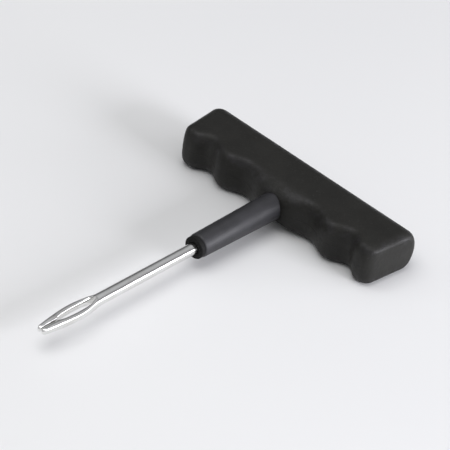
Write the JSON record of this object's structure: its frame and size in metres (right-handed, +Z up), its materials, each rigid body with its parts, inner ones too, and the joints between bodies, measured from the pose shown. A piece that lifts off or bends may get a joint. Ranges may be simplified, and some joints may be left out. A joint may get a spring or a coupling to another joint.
{
  "type": "tyre plug insertion tool",
  "caption": "T-handled tyre plug insertion tool: black grip with finger grooves, round neck sleeve and a chrome open-eye needle with a split leaf-shaped head.",
  "frame": {"origin": "middle of the outer box in plan, on the plane of the grip's flat underside", "axes": "+X along the grip, -Y along the needle towards its tip, +Z up from the grip's flat underside to its flat top"},
  "size_m": [0.098, 0.138, 0.0165],
  "materials": {
    "grip_plastic": "matte charcoal black, fine spark-eroded moulding grain with a soft broad sheen",
    "sleeve_plastic": "satin black, smoother than the grip, with a soft highlight along it",
    "bush_rubber": "dull black",
    "needle_chrome": "bright chrome or nickel plate with fine lengthwise polishing marks",
    "pin_steel": "plain ground steel"
  },
  "bodies": {
    "root": {"grip": "grip_plastic", "neck_sleeve": "sleeve_plastic", "mouth_bush": "bush_rubber", "needle": "needle_chrome", "anchor_pin": "pin_steel"}
  },
  "joints": []
}
